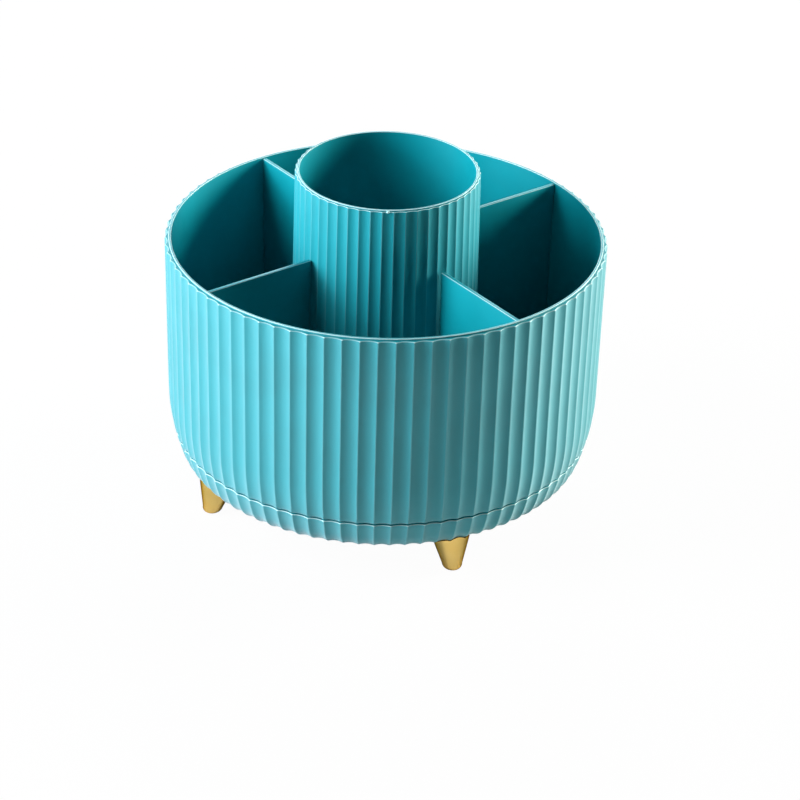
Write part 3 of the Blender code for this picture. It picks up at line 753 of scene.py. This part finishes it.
def footCone():  # the tapered foot, leaning outwards under its seat
    foot = footShape
    under, fillet = wall["underside"], foot["endFillet"]
    lean = -math.tan(foot["splay"] * degree)
    tip = footSeat - under * lean
    taper = (foot["topRadius"] - foot["endRadius"]) / (under - fillet)
    rows = arc((foot["endRadius"] - fillet, fillet), fillet, -90, 0, 8)
    rows += [(foot["endRadius"] + taper * (height - fillet), height)
             for height in (*foot["rows"], under + foot["rise"])]
    turnTo(startRing(foot["sides"], *rows[0]), *rows[1:])
    closeMiddle()
    selectRing(0.0, 0.0, 6.0)
    closeMiddle()
    bpy.ops.mesh.select_all(action="SELECT")
    bpy.ops.object.mode_set(mode="OBJECT")
    piece = bpy.context.object
    for vertex in piece.data.vertices:
        vertex.co.x += (tip + lean * vertex.co.z / mm) * mm
    bpy.ops.object.mode_set(mode="EDIT")
    return finishMesh()


def seatCutter():  # the dish's own fluted outside, a hair's breadth larger
    gap, top = footShape["seatGap"], wall["seam"] + footShape["cutterTop"]
    dishOutside(gap, top)
    selectRing(wall["underside"] - gap)
    closeMiddle()
    selectRing(top, near=0.3)
    flatten(top)
    closeMiddle()
    return finishMesh()


def buildFeet():
    foot = footShape
    piece = footCone()
    piece.data.transform(Matrix.Rotation(foot["angles"][0] * degree, 4, "Z"))
    cutter = seatCutter()
    bore = addCylinder(foot["boreSides"], foot["bore"], foot["boreEnd"], wall["underside"] + foot["boreRise"],
                       around(footSeat, foot["angles"][0]))
    cutWith(piece, bore)
    cutWith(piece, cutter)
    editOnly(piece)
    piece = finishMesh(40.0)
    for number in range(2, 5):
        copied = copyMesh(piece, (number - 1) * math.pi / 2)
        dress(copied, f"goldFoot{number}", gold, "base", f"foot_{number}")
    dress(piece, "goldFoot1", gold, "base", "foot_1")


# What the screws share: round, crown and arm are shares of the head's size, tip is one of the shank's
# radius, and the bearing face's edge is in mm.
screwHead = dict(sides=48, round=0.38, bearingRound=0.15, crown=0.5, tip=0.45, arm=(1.15, 0.24, 1.1),
                 armEnd=0.45)
pivotScrew = dict(face=19.5, rise=-1.0, headRadius=3.8, headHeight=2.2, shank=1.9, tip=32.3)
footScrew = dict(face=20.0, rise=1.0, headRadius=3.2, headHeight=1.8, shank=1.5, tip=7.7)


def recessArm(size, crown, turn):  # one arm of the cross recess, which narrows as it goes in
    long, wide, deep = screwHead["arm"]
    bpy.ops.object.select_all(action="DESELECT")
    bpy.ops.mesh.primitive_cube_add(
        size=1.0, location=(0, 0, crown * mm), rotation=(0, 0, turn),
        scale=(long * size["headRadius"] * mm, wide * size["headRadius"] * mm,
               deep * size["headHeight"] * mm))
    bpy.ops.object.transform_apply(location=True, rotation=True, scale=True)
    arm = bpy.context.object
    for vertex in arm.data.vertices:
        if (vertex.co.z / mm - crown) * size["rise"] < 0:
            vertex.co.x *= screwHead["armEnd"]
            vertex.co.y *= screwHead["armEnd"]
    return arm


def buildScrew(size, x=0.0):
    # a pan-head screw with a cross recess; the head goes up from its bearing face where rise is 1
    head, rise, face, shank = size["headRadius"], size["rise"], size["face"], size["shank"]
    crown = face + rise * size["headHeight"]
    headRound, bearing = screwHead["round"] * head, screwHead["bearingRound"]
    shankEnd = size["tip"] + rise * shank
    side = crown - rise * headRound
    dome = [(head - headRound + headRound * math.cos(step * 18 * degree),
             side + rise * headRound * math.sin(step * 18 * degree)) for step in range(6)]
    turnTo(startRing(screwHead["sides"], shank, shankEnd),
           (shank, face), (head - bearing, face), (head, face + rise * bearing), *dome,
           (screwHead["crown"] * head, crown))
    closeMiddle()
    selectRing(shankEnd, 0.0, shank + 0.1)
    turnTo((shank, shankEnd), (screwHead["tip"] * shank, size["tip"]))
    closeMiddle()
    piece = finishMesh()
    for turn in (0.0, math.pi / 2):
        cutWith(piece, recessArm(size, crown, turn))
    piece.data.transform(Matrix.Translation((x * mm, 0, 0)))
    editOnly(piece)
    return finishMesh()


def buildScrews():
    dress(buildScrew(pivotScrew), "pivotPanScrew", zinc, "carousel", "pivot_screw")
    first = buildScrew(footScrew, footSeat)
    for number, angle in enumerate(footShape["angles"], 1):
        copied = copyMesh(first, angle * degree)
        dress(copied, f"footPanScrew{number}", zinc, "base", f"foot_screw_{number}")
    bpy.data.objects.remove(first)


washerShape = dict(hole=2.2, radius=8.5, low=19.8, high=21.0, chamfer=0.2, sides=72)


def closeRing(radius):  # bridges the two open ends of a flat ring, at its inside
    selectWhere(lambda reach, height, vertex: abs(reach - radius) < 0.02)
    bpy.ops.mesh.bridge_edge_loops()


def buildWasher():
    washer = washerShape
    hole, radius, low, high = [washer[name] for name in ("hole", "radius", "low", "high")]
    chamfer = washer["chamfer"]
    turnTo(startRing(washer["sides"], hole, high), (radius - chamfer, high), (radius, high - chamfer),
           (radius, low + chamfer), (radius - chamfer, low), (hole + chamfer, low), (hole, low + chamfer))
    closeRing(hole)
    dress(finishMesh(), "pivotWasherDisc", zinc, "carousel", "pivot_washer")


raceShape = dict(
    balls=12, ballRadius=4.0, ballHeight=31.4, ballSegments=40,
    cageHalf=7.4, cageThickness=2.4, cageChamfer=0.3, cageSides=240,
    pocketGap=0.25, pocketSides=48, postHalf=10.0,
)


def buildCage():
    race = raceShape
    middle, half, chamfer = race["ballHeight"], race["cageThickness"] / 2, race["cageChamfer"]
    inner, outer = trackRadius - race["cageHalf"], trackRadius + race["cageHalf"]
    low, high = middle - half, middle + half
    turnTo(startRing(race["cageSides"], inner, high - chamfer), (inner + chamfer, high),
           (outer - chamfer, high), (outer, high - chamfer), (outer, low + chamfer),
           (outer - chamfer, low), (inner + chamfer, low), (inner, low + chamfer))
    closeRing(inner)
    cage = finishMesh()
    post = addCylinder(race["pocketSides"], race["ballRadius"] + race["pocketGap"],
                       middle - race["postHalf"], middle + race["postHalf"], (trackRadius * mm, 0))
    for _ in range(race["balls"]):
        runModifier(cage, "BOOLEAN", operation="DIFFERENCE", object=post, solver="EXACT")
        post.data.transform(Matrix.Rotation(math.tau / race["balls"], 4, "Z"))
    bpy.data.objects.remove(post)
    editOnly(cage)
    dress(finishMesh(), "ballCageRing", nylon, "ball_race", "ball_cage")


def buildBalls():
    race = raceShape
    ball = addBall(race["ballSegments"], race["ballRadius"], (trackRadius * mm, 0), race["ballHeight"])
    bpy.ops.object.shade_smooth()
    for number in range(1, race["balls"] + 1):
        copied = copyMesh(ball, math.tau * (number - 1) / race["balls"])
        dress(copied, f"raceBall{number:02d}", ballSteel, "ball_race", f"ball_{number:02d}")
    bpy.data.objects.remove(ball)


buildDrum()
print("drum made")
buildCup()
print("cup made")
for side, angle in dividerShape["angles"].items():
    buildDivider(side, angle)
print("dividers made")
buildDish()
print("dish made")
buildFeet()
print("feet made")
buildScrews()
buildWasher()
buildCage()
buildBalls()
print("screws, washer and ball race made")


# The camera, as the photograph was taken: a long lens, a little above, and turned to the feet.
view = dict(distanceBack=1.4549042, height=0.87108, pitch=29.6392, yaw=0.0051, roll=0.02512, turn=8.08,
            lens=157.5, sensor=36.0, clip=(0.05, 50.0))


def addCamera():
    camera = bpy.data.objects.new("camera", bpy.data.cameras.new("camera"))
    bpy.context.scene.collection.objects.link(camera)
    camera.data.lens, camera.data.sensor_width = view["lens"], view["sensor"]
    camera.data.clip_start, camera.data.clip_end = view["clip"]
    camera.matrix_world = (Matrix.Rotation(view["turn"] * degree, 4, "Z")
                           @ Matrix.Translation((0, -view["distanceBack"], view["height"]))
                           @ Matrix.Rotation((90.0 - view["pitch"]) * degree, 4, "X")
                           @ Matrix.Rotation(-view["yaw"], 4, "Y") @ Matrix.Rotation(view["roll"], 4, "Z"))
    bpy.context.scene.camera = camera


# The lamps: direction round the object, height angle, size, watts and colour.
lamps = dict(
    leftLow=(-78.0, 9.0, 0.9, 29.0, (0.94, 0.94, 1.0)),
    leftHigh=(-78.0, 33.0, 0.9, 22.0, (0.94, 0.94, 1.0)),
    right=(112.0, 12.0, 0.9, 47.0, (1.0, 1.0, 0.93)),
    back=(180.0, 30.0, 0.6, 13.0, (1.0, 1.0, 1.0)),
)
studio = dict(lampDistance=1.5, aimHeight=0.08, light=0.03, gloss=0.15, floorShade=0.65, floorWhite=0.97,
              floorGloss=0.05, floorRoughness=0.9, floorRadius=4.0, floorDrop=0.05)
white = (1.0, 1.0, 1.0)


def addLamps():
    for name, (direction, up, size, watts, colour) in lamps.items():
        lamp = bpy.data.lights.new(name + "Lamp", "AREA")
        lamp.shape, lamp.size, lamp.energy, lamp.color = "DISK", size, watts, colour
        holder = bpy.data.objects.new(name + "Lamp", lamp)
        bpy.context.scene.collection.objects.link(holder)
        turn = (direction + view["turn"] - 90.0) * degree
        offset = Vector((math.cos(turn) * math.cos(up * degree), math.sin(turn) * math.cos(up * degree),
                         math.sin(up * degree)))
        holder.location = Vector((0, 0, studio["aimHeight"])) + offset * studio["lampDistance"]
        holder.rotation_euler = offset.to_track_quat("Z", "Y").to_euler()


def lightPath(tree):
    return [addNode(tree, "ShaderNodeLightPath", output=name)
            for name in ("Is Camera Ray", "Is Glossy Ray", "Is Transmission Ray")]


def addWorld():  # white to the camera, and faint in gloss and as light
    world = bpy.data.worlds.new("studio")
    bpy.context.scene.world = world
    world.use_nodes = True
    tree = world.node_tree
    tree.nodes.clear()
    camera, glossy, through = lightPath(tree)
    strength = (camera + through) * (1.0 - studio["light"]) + glossy * studio["gloss"] + studio["light"]
    background = addNode(tree, "ShaderNodeBackground", {}, {"Color": white, "Strength": strength})
    output = tree.nodes.new("ShaderNodeOutputWorld")
    tree.links.new(background.output, output.inputs["Surface"])


def addFloor():  # a hair below the feet's flat ends; part of it stays plain, to keep the shadow
    bpy.ops.object.select_all(action="DESELECT")
    bpy.ops.mesh.primitive_circle_add(vertices=96, radius=studio["floorRadius"], fill_type="NGON",
                                      location=(0, 0, -studio["floorDrop"] * mm))
    floor = bpy.context.object
    floor.name = "paleFloor"
    material, tree, shader = newMaterial("paleFloor")
    camera, glossy, through = lightPath(tree)
    seen = (camera + through) * studio["floorWhite"] + glossy * studio["floorGloss"]
    shader.inputs["Base Color"].default_value = (*[studio["floorShade"]] * 3, 1.0)
    shader.inputs["Roughness"].default_value = studio["floorRoughness"]
    shader.inputs["Specular IOR Level"].default_value = 0.0
    glow = addNode(tree, "ShaderNodeEmission", {}, {"Color": white, "Strength": 1.0})
    mixed = addNode(tree, "ShaderNodeMixShader", {}, {0: seen, 1: Socket(tree, shader.outputs[0]), 2: glow})
    tree.links.new(mixed.output, tree.nodes["Material Output"].inputs["Surface"])
    floor.data.materials.append(material)


addCamera()
addLamps()
addWorld()
addFloor()
bpy.context.scene.view_settings.view_transform = "Standard"
print("camera, lamps and floor set")
